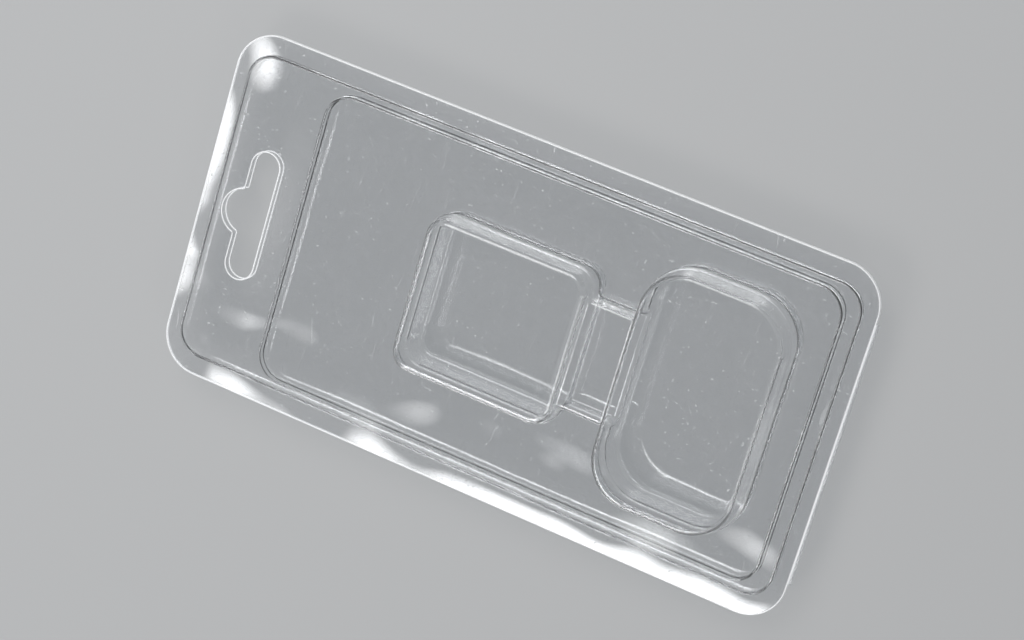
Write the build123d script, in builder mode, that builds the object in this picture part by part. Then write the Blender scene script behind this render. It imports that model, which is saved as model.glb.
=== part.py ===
from build123d import *
import math
import os

# Clear clamshell hang pack: one formed plastic sheet in two halves, folded shut along a living hinge.
# Millimetres. X runs along the pack towards the hinge and Z is up. The origin lies under the middle
# of the shut pack, on the surface that it rests on.

# The sheet
sheet = 0.4               # wall thickness everywhere
draft = 6.0               # lean of every formed wall, in degrees
flange_gap = 0.2          # air between the two flanges when the pack is shut

# Flange outline, and the hinge at its +X end
pack_length = 161.2       # over everything, the folded hinge included
pack_width = 84.0
flange_corner = 9.5
hinge_reach = 0.7         # from the flange edge to the hinge line
hinge_relief = 1.5        # from each end of the hinge to the nearest flange corner

# Platform: the first step, which stiffens the header
flange_band_end = 3.4     # flange left flat at the two ends
flange_band_side = 4.6    # flange left flat along the two long sides
platform_step = 0.75      # above the flange
platform_corner = 6.5

# Plateau: the second step, which carries the pockets
header_length = 21.2      # platform left bare at the hang end
plateau_margin_end = 3.6  # platform left bare at the hinge end
plateau_margin_side = 2.0
plateau_step = 0.75       # above the platform
plateau_corner = 6.5

# Pockets: sizes at the mouth, heights above the plateau, in a row from the hinge end
well_margin_end = 7.7     # plateau left bare between the well and the hinge
well_margin_side = 6.95
well_length = 35.8
well_corner = 11.5
well_step = 6.2
neck_length = 11.2
neck_width = 26.6
neck_step = 2.0
box_length = 41.2
box_width = 37.8
box_corner = 5.0
box_step = 5.0            # in the front half; the back half's box is as deep as its well

# Bend radii, on the tight side of the sheet
step_bend = 0.15
pocket_foot_bend = 0.8
box_rim_bend = 1.6
well_rim_bend = 1.0
neck_rim_bend = 0.5
neck_end_bend = 1.3
facet_share = 2 - math.sqrt(2)    # leg of a flat facet that touches a bend's arc, as a share of its radius

# Hang slot
slot_length = 31.0
slot_width = 7.0
slot_from_end = 14.1
lobe_radius = 5.4
lobe_offset = 2.5         # from the slot's long middle line towards the hang end
lobe_blend = 0.8
cut_overrun = 1.0

# Sizes and places that follow
hang_end = -pack_length / 2
fold_radius = (flange_gap + sheet) / 2
hinge_leg = hinge_reach - math.pi * fold_radius / 2    # the strip spans two reaches when it lies flat
flange_length = pack_length - hinge_leg - flange_gap / 2 - sheet
flange_middle = hang_end + flange_length / 2
hinge_edge = hang_end + flange_length
fold_start = hinge_edge + hinge_leg
hinge_length = pack_width - 2 * (flange_corner + hinge_relief)
platform_length = flange_length - 2 * flange_band_end
platform_width = pack_width - 2 * flange_band_side
plateau_length = platform_length - header_length - plateau_margin_end
plateau_width = platform_width - 2 * plateau_margin_side
plateau_middle = hang_end + flange_band_end + header_length + plateau_length / 2
well_width = plateau_width - 2 * well_margin_side
well_middle = plateau_middle + plateau_length / 2 - well_margin_end - well_length / 2
box_middle = well_middle - well_length / 2 - neck_length - box_length / 2
slot_middle = hang_end + slot_from_end

# Heights of the sheet's seam side above the flange
platform_rise = platform_step
plateau_rise = platform_rise + plateau_step
neck_rise = plateau_rise + neck_step
well_rise = plateau_rise + well_step
front_box_rise = plateau_rise + box_step
back_box_rise = well_rise

# Heights of the two flanges' seam sides above the resting surface
back_seam = well_rise + sheet
front_seam = back_seam + flange_gap
seam_height = (back_seam + front_seam) / 2
match_tolerance_share = 0.01
match_tolerance = sheet * match_tolerance_share


def flange_outline():
    with Locations((flange_middle, 0)):
        RectangleRounded(flange_length, pack_width, flange_corner)


def platform_outline():
    with Locations((flange_middle, 0)):
        RectangleRounded(platform_length, platform_width, platform_corner)


def plateau_outline():
    with Locations((plateau_middle, 0)):
        RectangleRounded(plateau_length, plateau_width, plateau_corner)


def box_outline():
    with Locations((box_middle, 0)):
        RectangleRounded(box_length, box_width, box_corner)


def well_outline():
    with Locations((well_middle, 0)):
        RectangleRounded(well_length, well_width, well_corner)


def neck_outline():
    with Locations(((box_middle + well_middle) / 2, 0)):
        Rectangle(well_middle - box_middle, neck_width)


def slot_outline():
    """The hang slot across the header, with a round lobe in its outer side."""
    with Locations((slot_middle, 0)):
        SlotOverall(slot_length, slot_width, rotation=90)
    with Locations((slot_middle - lobe_offset, 0)):
        Circle(lobe_radius)
    outer_side = slot_middle - slot_width / 2
    on_side = [corner for corner in vertices() if abs(corner.X - outer_side) < match_tolerance]
    fillet(sorted(on_side, key=lambda corner: abs(corner.Y))[:2], lobe_blend)


def raise_form(outline, rise, skin):
    """Add a drafted form on the seam plane, as the outside of the sheet or, with no skin, its inside."""
    with BuildSketch() as mouth:
        outline()
        if skin < sheet:
            offset(amount=(skin - sheet) / math.cos(math.radians(draft)))
    extrude(mouth.sketch, amount=rise + skin, taper=draft)


def raise_steps(skin):
    """Add the flange, the platform and the plateau."""
    with BuildSketch(Plane.XY.offset(skin - sheet)) as flange:
        flange_outline()
    extrude(flange.sketch, amount=sheet)
    raise_form(platform_outline, platform_rise, skin)
    raise_form(plateau_outline, plateau_rise, skin)


def flats_at(form, height):
    """The flat faces at this height."""
    flats = form.faces().filter_by(GeomType.PLANE)
    return flats.filter_by_position(Axis.Z, height - match_tolerance, height + match_tolerance)


def facet(line, radius):
    """Bend the form along a line of edges, as one flat facet that touches the bend's arc."""
    chamfer(line, radius * facet_share)


def pocket_rim(form, middle, height):
    """The edges round the top of the pocket that stands here."""
    return flats_at(form, height).sort_by_distance((middle, 0, height))[0].outer_wire().edges()


def neck_end_edges(form, skin):
    """The edges where the low neck runs into the walls of the box and the well."""
    over_plateau = form.edges().filter_by_position(
        Axis.Z, plateau_rise + skin + match_tolerance, neck_rise + skin + match_tolerance
    )
    beside_neck = over_plateau.filter_by_position(Axis.Y, -neck_width / 2, neck_width / 2)
    between_pockets = beside_neck.filter_by_position(Axis.X, box_middle, well_middle)
    return between_pockets.filter_by(Axis.X, reverse=True)


def half_form(box_rise, skin):
    """One half, mouth down, as the solid inside the sheet's outer side or, with no skin, its inner side."""
    with BuildPart() as form:
        raise_form(neck_outline, neck_rise, skin)
        fillet(form.edges().filter_by(Axis.X).group_by(Axis.Z)[-1], neck_rim_bend + skin)
        raise_steps(skin)
        raise_form(box_outline, box_rise, skin)
        raise_form(well_outline, well_rise, skin)
        fillet(neck_end_edges(form, skin), neck_end_bend + sheet - skin)
        plateau_flat = flats_at(form, plateau_rise + skin).sort_by(SortBy.AREA)[-1]
        facet(plateau_flat.inner_wires()[0].edges(), pocket_foot_bend + sheet - skin)
        facet(pocket_rim(form, well_middle, well_rise + skin), well_rim_bend + skin)
        facet(pocket_rim(form, box_middle, box_rise + skin), box_rim_bend + skin)
        if skin > 0:
            for rise in (plateau_rise, platform_rise):
                step_flat = flats_at(form, rise + skin).sort_by(SortBy.AREA)[-1]
                facet(step_flat.outer_wire().edges(), step_bend + skin)
    return form.part


def cut_slot(seam_plane):
    with BuildSketch(seam_plane) as slot:
        slot_outline()
    extrude(slot.sketch, amount=platform_rise + sheet + cut_overrun, mode=Mode.SUBTRACT)


# Front half, formed mouth down
with BuildPart() as front_shell:
    with Locations((0, 0, front_seam)):
        add(half_form(front_box_rise, sheet))
        add(half_form(front_box_rise, 0), mode=Mode.SUBTRACT)
    cut_slot(Plane.XY.offset(front_seam))

# Back half, formed mouth down like the front and turned over under it
with BuildPart() as back_shell:
    add(half_form(back_box_rise, sheet))
    add(half_form(back_box_rise, 0), mode=Mode.SUBTRACT)
    cut_slot(Plane.XY)
    mirror(about=Plane.XY.offset(back_seam / 2), mode=Mode.REPLACE)

# Living hinge: the strip of sheet between the two flanges, folded round on itself
with BuildPart() as living_hinge:
    with BuildSketch(Plane.XZ):
        with BuildLine():
            Line((hinge_edge, seam_height - fold_radius), (fold_start, seam_height - fold_radius))
            CenterArc((fold_start, seam_height), fold_radius, -90, 180)
            Line((fold_start, seam_height + fold_radius), (hinge_edge, seam_height + fold_radius))
        trace(line_width=sheet)
    extrude(amount=hinge_length / 2, both=True)

os.makedirs("parts", exist_ok=True)
front_shell.part.label = "front_shell"
export_step(front_shell.part, "parts/front_shell.step")
back_shell.part.label = "back_shell"
export_step(back_shell.part, "parts/back_shell.step")
living_hinge.part.label = "living_hinge"
export_step(living_hinge.part, "parts/living_hinge.step")
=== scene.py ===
import math

import bmesh
import bpy
from mathutils import Matrix, Vector


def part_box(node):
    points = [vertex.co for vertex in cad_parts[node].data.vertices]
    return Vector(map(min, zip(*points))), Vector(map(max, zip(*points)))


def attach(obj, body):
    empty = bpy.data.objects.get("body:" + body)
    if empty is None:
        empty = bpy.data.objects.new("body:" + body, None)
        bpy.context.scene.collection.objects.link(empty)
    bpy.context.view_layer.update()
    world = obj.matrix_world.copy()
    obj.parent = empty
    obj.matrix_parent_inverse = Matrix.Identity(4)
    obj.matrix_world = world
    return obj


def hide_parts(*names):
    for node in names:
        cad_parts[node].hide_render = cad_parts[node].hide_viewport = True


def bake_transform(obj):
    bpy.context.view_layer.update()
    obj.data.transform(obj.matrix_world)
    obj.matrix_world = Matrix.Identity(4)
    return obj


# Clear clamshell hang pack, shut, on a pale studio floor. Metres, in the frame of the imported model.

MM = 0.001

# The sheet, and the shading of its bends
SHEET = 0.4 * MM
WELD_REACH = 0.002 * MM
FLAT_LIMIT = math.radians(0.3)       # faces that turn less than this are one flat
SHARP_EDGE = math.radians(55.0)      # edges that turn more than this are sharp in the solids
EASED_WIDTH = 0.14 * MM
EASED_STEPS = 3
FLAT_WEIGHT = 80                     # how far wide faces rule the normals of the bends beside them

# Clear plastic, and the milky white that it turns where it is drawn or worn, which also paints a highlight
# along its cuts
GLASS_COLOR = (0.975, 0.980, 0.987, 1.0)
GLASS_IOR = 1.57
PASSING_COLOR = (0.950, 0.953, 0.955, 1.0)    # what light keeps when it goes straight through a face
MILK_AND_HIGHLIGHT_COLOR = (0.93, 0.94, 0.95, 1.0)
MILK_AND_HIGHLIGHT_ROUGHNESS = 0.5

# Die-cut outlines
FLANGE_CORNER = 9.5 * MM
SLOT_LENGTH = 31.0 * MM
SLOT_WIDTH = 7.0 * MM
SLOT_FROM_END = 14.1 * MM
LOBE_RADIUS = 5.4 * MM
LOBE_OFFSET = 2.5 * MM

# Painted highlight along the cuts: white that stands in for the light the cut edges catch and carry, with
# some whitening from the cutting
CUT_HIGHLIGHT_AND_WHITENING = 0.9
CUT_WHITE = 0.15 * MM                # the sheet is white up to here from a cut
CUT_CLEAR = 0.40 * MM                # and clear again from here
STRIP_FALL = 3.0                     # on the hinge strip the painted white highlight ends this many times sooner

# Haze on the drawn walls, by the upright part of the face's normal
WALL_MILK = 0.1
WALL_STEEP = 0.3
WALL_FLAT = 0.95

# Dust, and hairline scratches, each set with its angle in degrees and its fineness across and along
DUST_MILK = 0.35
DUST_SCALE = 1500.0
DUST_LEVELS = (0.80, 0.83)
HAIRLINE_MILK = 0.14
HAIRLINES = ((24.0, 300.0, 36.0), (-57.0, 260.0, 30.0), (81.0, 340.0, 44.0))
HAIRLINE_WANDER = 0.5
HAIRLINE_WIDTHS = (0.002, 0.006)
BREAK_SCALE = 2.3
BREAK_LEVELS = (0.72, 0.79)
NOISE_MIDDLE = 0.5

# Waves in the sheet, which are weak where the deep pockets stiffen it
WAVE_HEIGHT = 0.8 * MM
WAVE_SCALE = 62.0
POCKET_WAVES = 0.2                   # share of the waves that is left in the pockets
WAVY_TO = 2.5 * MM                   # the sheet waves fully up to here from the seam
STIFF_FROM = 5.0 * MM                # and is stiff from here

# Droop of the flange, which the header holds up at the hang end
FLANGE_BAND = 4.6 * MM
FLANGE_DROOP = 0.30 * MM
DROOP_SCALE = 24.0
HEADER_DROOP = 0.35                  # share of the droop that is left at the hang end
HELD_TO = -45.0 * MM                 # along the pack, from the hang end up to here
FREE_FROM = 0.0

# The hinge strip, folded round on itself between the two flanges
FLANGE_GAP = 0.2 * MM
FOLD_STEPS = 24

# Studio: the floor lies just under the pack, and each lamp has a name, a place, an aim, a size and a power
FLOOR_SIZE = 6.0
FLOOR_DROP = 0.1 * MM
FLOOR_COLOR = (0.47, 0.475, 0.48, 1.0)
FLOOR_ROUGHNESS = 0.8
LAMPS = (
    ("key", (-0.33, -0.80, 1.0), (-0.33, 0.0, 0.0), (0.6, 0.7), 11.5),
    ("rim", (-0.22, 0.55, 0.72), (-0.1, 0.0, 0.0), (0.68, 0.8), 8.4),
    ("side", (-0.79, -0.36, 1.0), (0.0, 0.0, 0.0), (0.3, 0.4), 2.2),
    ("fill", (0.9, -0.5, 0.8), (0.0, 0.0, 0.0), (0.4, 0.4), 3.5),
)
LAMP_MIDDLE = 0.5                    # of a lamp's width, which runs from 0 to 1
LAMP_EDGE = 0.2                      # share of that width over which a lamp fades out, at each side
SKY_COLOR = (0.80, 0.83, 0.86, 1.0)
SKY_STRENGTH = 0.17

# Camera of the photograph
CAMERA_PLACE = (216.46 * MM, 207.08 * MM, 642.22 * MM)
CAMERA_RIGHT = (0.87835, 0.27771, -0.38906)
CAMERA_UP = (-0.36589, 0.91437, -0.17337)
CAMERA_BACK = (0.3076, 0.29463, 0.90475)
LENS = 110.0
SENSOR = 36.0
CLIP = (0.01, 20.0)

# Light passes many faces of clear sheet before it ends
MOST_BOUNCES = 24


def math_node(tree, operation, first, second=0.0):
    """A Math node over two sockets or numbers."""
    made = tree.nodes.new("ShaderNodeMath")
    made.operation = operation
    for socket, value in zip(made.inputs, (first, second)):
        if isinstance(value, bpy.types.NodeSocket):
            tree.links.new(value, socket)
        else:
            socket.default_value = value
    return made.outputs[0]


def vector_node(tree, operation, first, second=(0.0, 0.0, 0.0)):
    """A Vector Math node over a socket and a vector."""
    made = tree.nodes.new("ShaderNodeVectorMath")
    made.operation = operation
    tree.links.new(first, made.inputs[0])
    made.inputs[1].default_value = second
    return made.outputs["Value" if operation == "LENGTH" else "Vector"]


def split(tree, vector):
    """The three parts of a vector socket, by letter."""
    made = tree.nodes.new("ShaderNodeSeparateXYZ")
    tree.links.new(vector, made.inputs[0])
    return made.outputs


def mix_shader(tree, share, first, second):
    made = tree.nodes.new("ShaderNodeMixShader")
    for socket, value in zip(made.inputs, (share, first, second)):
        tree.links.new(value, socket)
    return made.outputs[0]


def noise(tree, place, scale, distortion=0.0):
    made = tree.nodes.new("ShaderNodeTexNoise")
    made.inputs["Scale"].default_value = scale
    made.inputs["Detail"].default_value = 0.0
    made.inputs["Distortion"].default_value = distortion
    tree.links.new(place, made.inputs["Vector"])
    return made.outputs["Fac"]


def ramp(tree, value, low, high, from_value=0.0, to_value=1.0):
    """Map a socket's range from low to high on to two values, and hold them outside it."""
    made = tree.nodes.new("ShaderNodeMapRange")
    made.inputs["From Min"].default_value = low
    made.inputs["From Max"].default_value = high
    made.inputs["To Min"].default_value = from_value
    made.inputs["To Max"].default_value = to_value
    tree.links.new(value, made.inputs["Value"])
    return made.outputs["Result"]


def outline_distance(tree, place, middle, half_length, half_width, corner):
    """Distance in plan from the outline of a rounded rectangle, less than nothing inside it."""
    flat = vector_node(tree, "MULTIPLY", place, (1.0, 1.0, 0.0))
    off_middle = vector_node(tree, "ABSOLUTE", vector_node(tree, "SUBTRACT", flat, (middle, 0.0, 0.0)))
    past = vector_node(tree, "SUBTRACT", off_middle, (half_length - corner, half_width - corner, 0.0))
    outside = vector_node(tree, "LENGTH", vector_node(tree, "MAXIMUM", past))
    sides = split(tree, past)
    inside = math_node(tree, "MINIMUM", math_node(tree, "MAXIMUM", sides["X"], sides["Y"]))
    return math_node(tree, "SUBTRACT", math_node(tree, "ADD", outside, inside), corner)


def flange_distance(tree, place, low, high):
    """Distance from the cut round the flange, less than nothing on the flange."""
    middle = (low.x + high.x) / 2
    return outline_distance(tree, place, middle, (high.x - low.x) / 2, (high.y - low.y) / 2, FLANGE_CORNER)


def cut_distance(tree, place, flange, hang_end):
    """Distance from the nearest cut: the flange's outline or the slot with its lobe."""
    slot_middle = hang_end + SLOT_FROM_END
    slot = outline_distance(tree, place, slot_middle, SLOT_WIDTH / 2, SLOT_LENGTH / 2, SLOT_WIDTH / 2)
    lobe = outline_distance(tree, place, slot_middle - LOBE_OFFSET, LOBE_RADIUS, LOBE_RADIUS, LOBE_RADIUS)
    hole = math_node(tree, "ABSOLUTE", math_node(tree, "MINIMUM", slot, lobe))
    inwards = math_node(tree, "MULTIPLY", flange, -1.0)
    outwards = math_node(tree, "MULTIPLY", flange, STRIP_FALL)
    return math_node(tree, "MINIMUM", math_node(tree, "MAXIMUM", inwards, outwards), hole)


def sheet_waves(tree, place, flange, seam, upright):
    """Waves and droop. They turn over with the face, so that the sheet's two faces move together."""
    spot = split(tree, place)
    off_seam = math_node(tree, "ABSOLUTE", math_node(tree, "SUBTRACT", spot["Z"], seam))
    full_wave = WAVE_HEIGHT / FLANGE_DROOP
    limp = ramp(tree, off_seam, WAVY_TO, STIFF_FROM, full_wave, POCKET_WAVES * full_wave)
    wave = math_node(tree, "MULTIPLY", noise(tree, place, WAVE_SCALE), limp)
    band = ramp(tree, flange, -FLANGE_BAND, 0.0)
    held = ramp(tree, spot["X"], HELD_TO, FREE_FROM, HEADER_DROOP, 1.0)
    sag = math_node(tree, "MULTIPLY", noise(tree, place, DROOP_SCALE), held)
    droop = math_node(tree, "MULTIPLY", math_node(tree, "MULTIPLY", band, band), sag)
    rise = math_node(tree, "SUBTRACT", wave, droop)
    waves = tree.nodes.new("ShaderNodeBump")
    waves.inputs["Strength"].default_value = 1.0
    waves.inputs["Distance"].default_value = FLANGE_DROOP
    tree.links.new(math_node(tree, "MULTIPLY", rise, upright), waves.inputs["Height"])
    return waves.outputs["Normal"]


def hairlines(tree, place, angle, across, along):
    """Scratches that run one way, broken into short lengths: level lines of a stretched noise."""
    turn = tree.nodes.new("ShaderNodeMapping")
    turn.inputs["Rotation"].default_value = (0.0, 0.0, math.radians(angle))
    turn.inputs["Scale"].default_value = (across, along, along)
    tree.links.new(place, turn.inputs["Vector"])
    stretched = turn.outputs["Vector"]
    level = math_node(tree, "SUBTRACT", noise(tree, stretched, 1.0, HAIRLINE_WANDER), NOISE_MIDDLE)
    line = ramp(tree, math_node(tree, "ABSOLUTE", level), *HAIRLINE_WIDTHS, 1.0, 0.0)
    broken = ramp(tree, noise(tree, stretched, BREAK_SCALE), *BREAK_LEVELS)
    return math_node(tree, "MULTIPLY", line, broken)


def milk_and_highlight_share(tree, place, from_cut, upright):
    """How milky the sheet is: a painted white highlight along the cuts with some whitening, hazy on the
    drawn walls, and scratched and dusty.
    """
    # Painted highlight: white along the cuts stands in for the light that the cut edges catch, with some
    # stress whitening from the cutting
    cut_highlight_and_whitening = ramp(tree, from_cut, CUT_WHITE, CUT_CLEAR, CUT_HIGHLIGHT_AND_WHITENING, 0.0)
    lie = math_node(tree, "ABSOLUTE", upright)
    drawn_wall = ramp(tree, lie, WALL_STEEP, WALL_FLAT, WALL_MILK, 0.0)
    dust = ramp(tree, noise(tree, place, DUST_SCALE), *DUST_LEVELS, 0.0, DUST_MILK)
    milk_and_highlight = math_node(tree, "MAXIMUM", math_node(tree, "MAXIMUM", cut_highlight_and_whitening, drawn_wall), dust)
    for angle, across, along in HAIRLINES:
        scratch = math_node(tree, "MULTIPLY", hairlines(tree, place, angle, across, along), HAIRLINE_MILK)
        milk_and_highlight = math_node(tree, "MAXIMUM", milk_and_highlight, scratch)
    return milk_and_highlight


def clear_sheet(low, high):
    """Clear glossy sheet for the whole pack, placed by the corners of the front half's bounding box."""
    material = bpy.data.materials.new("clear_sheet")
    material.use_nodes = True
    tree = material.node_tree
    tree.nodes.clear()
    place = tree.nodes.new("ShaderNodeTexCoord").outputs["Object"]
    upright = split(tree, tree.nodes.new("ShaderNodeNewGeometry").outputs["True Normal"])["Z"]
    flange = flange_distance(tree, place, low, high)

    glass = tree.nodes.new("ShaderNodeBsdfPrincipled")
    glass.inputs["Base Color"].default_value = GLASS_COLOR
    glass.inputs["IOR"].default_value = GLASS_IOR
    glass.inputs["Roughness"].default_value = 0.0
    glass.inputs["Transmission Weight"].default_value = 1.0
    tree.links.new(sheet_waves(tree, place, flange, low.z, upright), glass.inputs["Normal"])

    # White for the haze, dust and scratches, and for the painted highlight along the cuts
    white = tree.nodes.new("ShaderNodeBsdfPrincipled")
    white.inputs["Base Color"].default_value = MILK_AND_HIGHLIGHT_COLOR
    white.inputs["Roughness"].default_value = MILK_AND_HIGHLIGHT_ROUGHNESS
    milk_and_highlight = milk_and_highlight_share(tree, place, cut_distance(tree, place, flange, low.x), upright)
    surface = mix_shader(tree, milk_and_highlight, glass.outputs[0], white.outputs[0])

    # Light from lamps and from the floor goes straight through
    passing = tree.nodes.new("ShaderNodeBsdfTransparent")
    passing.inputs["Color"].default_value = PASSING_COLOR
    path = tree.nodes.new("ShaderNodeLightPath")
    for ray in ("Is Shadow Ray", "Is Diffuse Ray"):
        surface = mix_shader(tree, path.outputs[ray], surface, passing.outputs[0])
    output = tree.nodes.new("ShaderNodeOutputMaterial")
    tree.links.new(surface, output.inputs["Surface"])
    return material


def formed_half(name, body, solid, material):
    """One half as its solid has it, with its sharp edges eased and its bends shaded round."""
    half = bpy.data.objects.new(name + "_sheet", solid.data.copy())
    bpy.context.scene.collection.objects.link(half)
    half.data.materials.clear()
    half.data.materials.append(material)
    half.data.shade_smooth()
    weld = half.modifiers.new("join", "WELD")
    weld.merge_threshold = WELD_REACH
    flats = half.modifiers.new("flats", "DECIMATE")
    flats.decimate_type = "DISSOLVE"
    flats.angle_limit = FLAT_LIMIT
    eased = half.modifiers.new("eased_edges", "BEVEL")
    eased.limit_method = "ANGLE"
    eased.angle_limit = SHARP_EDGE
    eased.width = EASED_WIDTH
    eased.segments = EASED_STEPS
    eased.use_clamp_overlap = False
    bends = half.modifiers.new("bends", "WEIGHTED_NORMAL")
    bends.mode = "FACE_AREA_WITH_ANGLE"
    bends.weight = FLAT_WEIGHT
    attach(half, body)
    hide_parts(name)


def fold_path(low, high):
    """Points along the middle of the folded strip, lower flange to upper, each with the way across it."""
    seam = (low.z + high.z) / 2
    radius = (FLANGE_GAP + SHEET) / 2
    fold_start = high.x - SHEET / 2 - radius
    lower_leg = (Vector((low.x, 0, seam - radius)), Vector((0, 0, -1)))
    upper_leg = (Vector((low.x, 0, seam + radius)), Vector((0, 0, 1)))
    fold = []
    for step in range(FOLD_STEPS + 1):
        angle = math.pi * (step / FOLD_STEPS - 0.5)
        across = Vector((math.cos(angle), 0, math.sin(angle)))
        fold.append((Vector((fold_start, 0, seam)) + across * radius, across))
    return [lower_leg] + fold + [upper_leg]


def hinge_strip(low, high):
    """The folded strip as one closed sheet, cut into many short steps round its fold."""
    mesh = bmesh.new()
    corners = ((-1, low.y), (1, low.y), (1, high.y), (-1, high.y))
    rings = []
    for point, across in fold_path(low, high):
        ring = []
        for side, y in corners:
            ring.append(mesh.verts.new(point + across * side * SHEET / 2 + Vector((0, y, 0))))
        rings.append(ring)
    for ring, after in zip(rings, rings[1:]):
        for corner in range(len(corners)):
            mesh.faces.new((ring[corner - 1], ring[corner], after[corner], after[corner - 1]))
    for end in (rings[0], rings[-1]):
        mesh.faces.new(end)
    bmesh.ops.recalc_face_normals(mesh, faces=mesh.faces)
    for face in mesh.faces:
        face.smooth = True
    for edge in mesh.edges:
        edge.smooth = edge.calc_face_angle() < SHARP_EDGE
    data = bpy.data.meshes.new("hinge_strip")
    mesh.to_mesh(data)
    mesh.free()
    strip = bpy.data.objects.new("hinge_strip", data)
    bpy.context.scene.collection.objects.link(strip)
    return strip


def floor_material():
    material = bpy.data.materials.new("pale_floor")
    material.use_nodes = True
    shader = material.node_tree.nodes["Principled BSDF"]
    shader.inputs["Base Color"].default_value = FLOOR_COLOR
    shader.inputs["Roughness"].default_value = FLOOR_ROUGHNESS
    shader.inputs["Specular IOR Level"].default_value = 0.0
    return material


def fade_out(lamp):
    """A softbox is brightest in its middle and fades towards its edges."""
    lamp.use_nodes = True
    tree = lamp.node_tree
    spot = split(tree, tree.nodes.new("ShaderNodeNewGeometry").outputs["Parametric"])
    fades = []
    for side in ("X", "Y"):
        off_middle = math_node(tree, "ABSOLUTE", math_node(tree, "SUBTRACT", spot[side], LAMP_MIDDLE))
        fades.append(ramp(tree, off_middle, LAMP_MIDDLE - LAMP_EDGE, LAMP_MIDDLE, 1.0, 0.0))
    strength = math_node(tree, "MULTIPLY", *fades)
    tree.links.new(strength, tree.nodes["Emission"].inputs["Strength"])


def area_lamp(name, place, aim, size, power):
    lamp = bpy.data.lights.new(name, "AREA")
    fade_out(lamp)
    lamp.shape = "RECTANGLE"
    lamp.size, lamp.size_y = size
    lamp.energy = power
    made = bpy.data.objects.new(name, lamp)
    made.location = place
    made.rotation_mode = "QUATERNION"
    made.rotation_quaternion = (Vector(aim) - Vector(place)).to_track_quat("-Z", "Y")
    bpy.context.scene.collection.objects.link(made)


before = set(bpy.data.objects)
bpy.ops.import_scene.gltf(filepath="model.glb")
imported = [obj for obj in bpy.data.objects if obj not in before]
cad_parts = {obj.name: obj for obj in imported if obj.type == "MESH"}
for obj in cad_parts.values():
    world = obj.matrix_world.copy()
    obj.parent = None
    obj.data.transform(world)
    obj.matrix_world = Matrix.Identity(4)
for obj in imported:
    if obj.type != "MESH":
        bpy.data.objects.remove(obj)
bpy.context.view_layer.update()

# The two halves
sheet_material = clear_sheet(*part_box("front_shell"))
for name, body in (("front_shell", "front"), ("back_shell", "back")):
    formed_half(name, body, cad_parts[name], sheet_material)

# The hinge strip bends between them
strip_low, strip_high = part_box("living_hinge")
strip = hinge_strip(strip_low, strip_high)
strip.data.materials.append(sheet_material)
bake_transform(strip)
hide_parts("living_hinge")

# Floor
bpy.ops.mesh.primitive_plane_add(size=FLOOR_SIZE, location=(0, 0, -FLOOR_DROP))
floor = bpy.context.object
floor.name = "floor"
floor.data.materials.append(floor_material())

# Light
for lamp in LAMPS:
    area_lamp(*lamp)
world = bpy.data.worlds.new("studio")
world.use_nodes = True
sky = world.node_tree.nodes["Background"]
sky.inputs["Color"].default_value = SKY_COLOR
sky.inputs["Strength"].default_value = SKY_STRENGTH
scene = bpy.context.scene
scene.world = world
scene.cycles.max_bounces = MOST_BOUNCES
scene.cycles.transmission_bounces = MOST_BOUNCES
scene.cycles.transparent_max_bounces = MOST_BOUNCES

# Camera
camera_data = bpy.data.cameras.new("camera")
camera_data.lens = LENS
camera_data.sensor_width = SENSOR
camera_data.clip_start, camera_data.clip_end = CLIP
camera = bpy.data.objects.new("camera", camera_data)
axes = Matrix((CAMERA_RIGHT, CAMERA_UP, CAMERA_BACK)).transposed()
camera.matrix_world = Matrix.Translation(CAMERA_PLACE) @ axes.to_4x4()
scene.collection.objects.link(camera)
scene.camera = camera
scene.view_settings.view_transform = "Standard"
